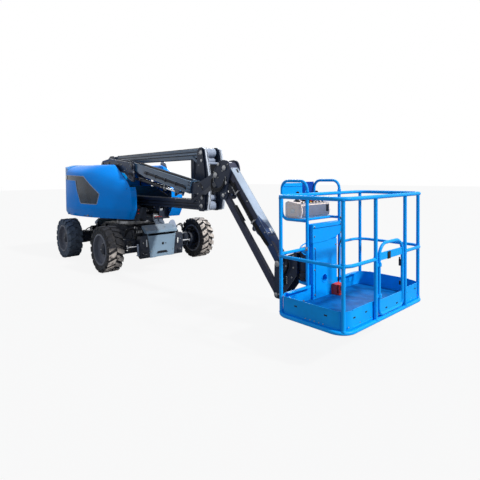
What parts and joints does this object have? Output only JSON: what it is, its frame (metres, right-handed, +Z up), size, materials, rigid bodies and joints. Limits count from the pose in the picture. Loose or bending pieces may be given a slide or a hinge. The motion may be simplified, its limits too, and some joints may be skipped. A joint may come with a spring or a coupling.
{
  "type": "articulating boom lift",
  "caption": "Four-wheel articulating boom lift with a folding riser, telescopic boom, jib and railed work platform.",
  "frame": {"origin": "middle of the footprint on the ground", "axes": "+X towards the platform, +Y to the machine's left, +Z up"},
  "size_m": [7.4419, 2.3465, 2.1949],
  "materials": {
    "tyre": "dusty rubber tread",
    "rim": "dark grey paint",
    "chassis_dark": "dark blue-grey paint",
    "cover_grey": "light grey-blue paint",
    "steel": "machined steel",
    "hood_blue": "glossy blue moulding",
    "window_dark": "smoked panel",
    "counterweight": "painted casting",
    "engine": "plain block",
    "boom_dark": "dark blue-grey paint",
    "cylinder_barrel": "black paint",
    "cylinder_rod": "hard chrome",
    "platform_blue": "bright blue paint",
    "console": "warm grey moulding",
    "switch_red": "red moulding"
  },
  "bodies": {
    "chassis": {"chassis_frame": "chassis_dark", "chassis_covers": "cover_grey", "chassis_columns": "chassis_dark", "front_axle": "chassis_dark", "rear_axle": "chassis_dark", "slew_ring": "steel"},
    "steer_left": {"steer_knuckle_left": "chassis_dark"},
    "steer_right": {"steer_knuckle_right": "chassis_dark"},
    "steer_bar": {"steer_rod": "steel"},
    "wheel_front_left": {"tyre_front_left": "tyre", "rim_front_left": "rim"},
    "wheel_front_right": {"tyre_front_right": "tyre", "rim_front_right": "rim"},
    "wheel_rear_left": {"tyre_rear_left": "tyre", "rim_rear_left": "rim"},
    "wheel_rear_right": {"tyre_rear_right": "tyre", "rim_rear_right": "rim"},
    "turntable": {"turntable_frame": "chassis_dark", "counterweight": "counterweight", "engine_block": "engine"},
    "hood_left": {"hood_left": "hood_blue", "hood_window_left": "window_dark"},
    "hood_right": {"hood_right": "hood_blue", "hood_window_right": "window_dark"},
    "lower_arm": {"lower_arm": "boom_dark"},
    "lower_link": {"lower_link": "boom_dark"},
    "knuckle": {"riser_knuckle": "boom_dark"},
    "upper_arm": {"upper_arm": "boom_dark", "stow_post": "boom_dark"},
    "upper_link": {"upper_link": "boom_dark"},
    "upright": {"upright": "boom_dark"},
    "riser_cylinder_barrel": {"riser_cylinder_barrel": "cylinder_barrel"},
    "riser_cylinder_rod": {"riser_cylinder_rod": "cylinder_rod"},
    "boom": {"boom_outer": "boom_dark"},
    "boom_extension": {"boom_inner": "boom_dark"},
    "boom_cylinder_barrel": {"boom_cylinder_barrel": "cylinder_barrel"},
    "boom_cylinder_rod": {"boom_cylinder_rod": "cylinder_rod"},
    "jib_bracket": {"jib_bracket": "boom_dark"},
    "jib": {"jib_beam": "boom_dark"},
    "jib_link": {"jib_link": "boom_dark"},
    "platform_bracket": {"platform_bracket": "boom_dark"},
    "jib_cylinder_barrel": {"jib_cylinder_barrel": "cylinder_barrel"},
    "jib_cylinder_rod": {"jib_cylinder_rod": "cylinder_rod"},
    "platform": {"platform_rotator": "platform_blue", "platform_rails": "platform_blue", "platform_floor": "platform_blue", "mount_panel": "platform_blue", "console_guard": "platform_blue", "control_console": "console", "foot_switch": "switch_red"},
    "gate": {"platform_gate": "platform_blue"}
  },
  "joints": [
    {"name": "front_left_spin", "type": "hinge", "parent": "steer_left", "child": "wheel_front_left", "pos_m": [-1.385, 1.005, 0.42], "axis": [0, 1, 0], "continuous": true},
    {"name": "front_right_spin", "type": "hinge", "parent": "steer_right", "child": "wheel_front_right", "pos_m": [-1.385, -1.005, 0.42], "axis": [0, 1, 0], "continuous": true},
    {"name": "rear_left_spin", "type": "hinge", "parent": "chassis", "child": "wheel_rear_left", "pos_m": [-3.301, 1.005, 0.42], "axis": [0, 1, 0], "continuous": true},
    {"name": "rear_right_spin", "type": "hinge", "parent": "chassis", "child": "wheel_rear_right", "pos_m": [-3.301, -1.005, 0.42], "axis": [0, 1, 0], "continuous": true},
    {"name": "steering", "type": "hinge", "parent": "chassis", "child": "steer_left", "pos_m": [-1.385, 0.69, 0.42], "axis": [0, 0, 1], "range_deg": [-30, 30]},
    {"name": "steering_right", "type": "hinge", "parent": "chassis", "child": "steer_right", "pos_m": [-1.385, -0.69, 0.42], "axis": [0, 0, 1], "range_deg": [-30, 30]},
    {"name": "steering_bar", "type": "slide", "parent": "chassis", "child": "steer_bar", "axis": [0, 1, 0], "range_m": [-0.081, 0.081]},
    {"name": "swing", "type": "hinge", "parent": "chassis", "child": "turntable", "pos_m": [-2.343, 0, 0.87], "axis": [0, 0, 1], "range_deg": [-177.5, 177.5]},
    {"name": "hood_left_open", "type": "hinge", "parent": "turntable", "child": "hood_left", "pos_m": [-3.243, 0.58, 1.938], "axis": [1, 0, 0], "range_deg": [0, 55]},
    {"name": "hood_right_open", "type": "hinge", "parent": "turntable", "child": "hood_right", "pos_m": [-3.243, -0.58, 1.938], "axis": [-1, 0, 0], "range_deg": [0, 55]},
    {"name": "riser", "type": "hinge", "parent": "turntable", "child": "lower_arm", "pos_m": [-2.993, 0, 1.235], "axis": [0, -1, 0], "range_deg": [0, 60]},
    {"name": "lower_link_turn", "type": "hinge", "parent": "turntable", "child": "lower_link", "pos_m": [-2.993, 0, 1.365], "axis": [0, -1, 0], "range_deg": [0, 60]},
    {"name": "knuckle_turn", "type": "hinge", "parent": "lower_arm", "child": "knuckle", "pos_m": [0.357, 0, 1.235], "axis": [0, -1, 0], "range_deg": [-60, 0]},
    {"name": "upper_arm_turn", "type": "hinge", "parent": "knuckle", "child": "upper_arm", "pos_m": [0.357, 0, 2.105], "axis": [0, -1, 0], "range_deg": [-60, 0]},
    {"name": "upper_link_turn", "type": "hinge", "parent": "knuckle", "child": "upper_link", "pos_m": [0.357, 0, 1.975], "axis": [0, -1, 0], "range_deg": [-60, 0]},
    {"name": "upright_turn", "type": "hinge", "parent": "upper_arm", "child": "upright", "pos_m": [-2.993, 0, 2.105], "axis": [0, -1, 0], "range_deg": [0, 60]},
    {"name": "riser_cylinder_swing", "type": "hinge", "parent": "turntable", "child": "riser_cylinder_barrel", "pos_m": [-2.643, 0, 1.01], "axis": [0, -1, 0], "range_deg": [0, 65.31]},
    {"name": "riser_cylinder_stroke", "type": "slide", "parent": "riser_cylinder_barrel", "child": "riser_cylinder_rod", "axis": [0.9983, 0, 0.0585], "range_m": [0, 0.38912]},
    {"name": "boom_lift", "type": "hinge", "parent": "upright", "child": "boom", "pos_m": [-1.343, -0.39, 1.925], "axis": [0, -1, 0], "range_deg": [0, 72]},
    {"name": "boom_cylinder_swing", "type": "hinge", "parent": "upright", "child": "boom_cylinder_barrel", "pos_m": [-1.293, -0.39, 1.68], "axis": [0, -1, 0], "range_deg": [0, 69.43]},
    {"name": "boom_cylinder_stroke", "type": "slide", "parent": "boom_cylinder_barrel", "child": "boom_cylinder_rod", "axis": [0.9866, 0, -0.1631], "range_m": [0, 0.28658]},
    {"name": "boom_extend", "type": "slide", "parent": "boom", "child": "boom_extension", "axis": [0.9826, 0, -0.1857], "range_m": [0, 1]},
    {"name": "bracket_level", "type": "hinge", "parent": "boom_extension", "child": "jib_bracket", "pos_m": [1.137, -0.39, 1.735], "axis": [0, -1, 0], "range_deg": [-72, 0]},
    {"name": "jib_lift", "type": "hinge", "parent": "jib_bracket", "child": "jib", "pos_m": [1.329, -0.39, 1.832], "axis": [0, -1, 0], "range_deg": [-10, 100]},
    {"name": "jib_link_turn", "type": "hinge", "parent": "jib_bracket", "child": "jib_link", "pos_m": [1.307, -0.39, 1.45], "axis": [0, -1, 0], "range_deg": [-10, 100]},
    {"name": "platform_level", "type": "hinge", "parent": "jib", "child": "platform_bracket", "pos_m": [2.3127, -0.39, 0.64712], "axis": [0, -1, 0], "range_deg": [-100, 10]},
    {"name": "jib_cylinder_swing", "type": "hinge", "parent": "jib_bracket", "child": "jib_cylinder_barrel", "pos_m": [1.362, -0.368, 1.625], "axis": [0, -1, 0], "range_deg": [-10.34, 102.98]},
    {"name": "jib_cylinder_stroke", "type": "slide", "parent": "jib_cylinder_barrel", "child": "jib_cylinder_rod", "axis": [0.6306, 0, -0.7761], "range_m": [-0.03277, 0.31872]},
    {"name": "platform_turn", "type": "hinge", "parent": "platform_bracket", "child": "platform", "pos_m": [2.667, -0.39, 0.5], "axis": [0, 0, 1], "range_deg": [-90, 90]},
    {"name": "gate_open", "type": "hinge", "parent": "platform", "child": "gate", "pos_m": [3.697, -0.6, 0.7], "axis": [0, 0, 1], "range_deg": [0, 85]}
  ],
  "couplings": [
    {"joint": "steering_right", "follows": "steering", "ratio": 1},
    {"joint": "steering_bar", "follows": "steering", "m_per_rad": 0.15279},
    {"joint": "lower_link_turn", "follows": "riser", "ratio": 1},
    {"joint": "knuckle_turn", "follows": "riser", "ratio": -1},
    {"joint": "upper_arm_turn", "follows": "riser", "ratio": -1},
    {"joint": "upper_link_turn", "follows": "riser", "ratio": -1},
    {"joint": "upright_turn", "follows": "riser", "ratio": 1},
    {"joint": "riser_cylinder_swing", "follows": "riser", "ratio": 1.0876},
    {"joint": "riser_cylinder_stroke", "follows": "riser", "m_per_rad": 0.37062},
    {"joint": "boom_cylinder_swing", "follows": "boom_lift", "ratio": 0.96357},
    {"joint": "boom_cylinder_stroke", "follows": "boom_lift", "m_per_rad": 0.22726},
    {"joint": "bracket_level", "follows": "boom_lift", "ratio": -1},
    {"joint": "jib_link_turn", "follows": "jib_lift", "ratio": 1},
    {"joint": "platform_level", "follows": "jib_lift", "ratio": -1},
    {"joint": "jib_cylinder_swing", "follows": "jib_lift", "ratio": 1.0293},
    {"joint": "jib_cylinder_stroke", "follows": "jib_lift", "m_per_rad": 0.18204}
  ]
}
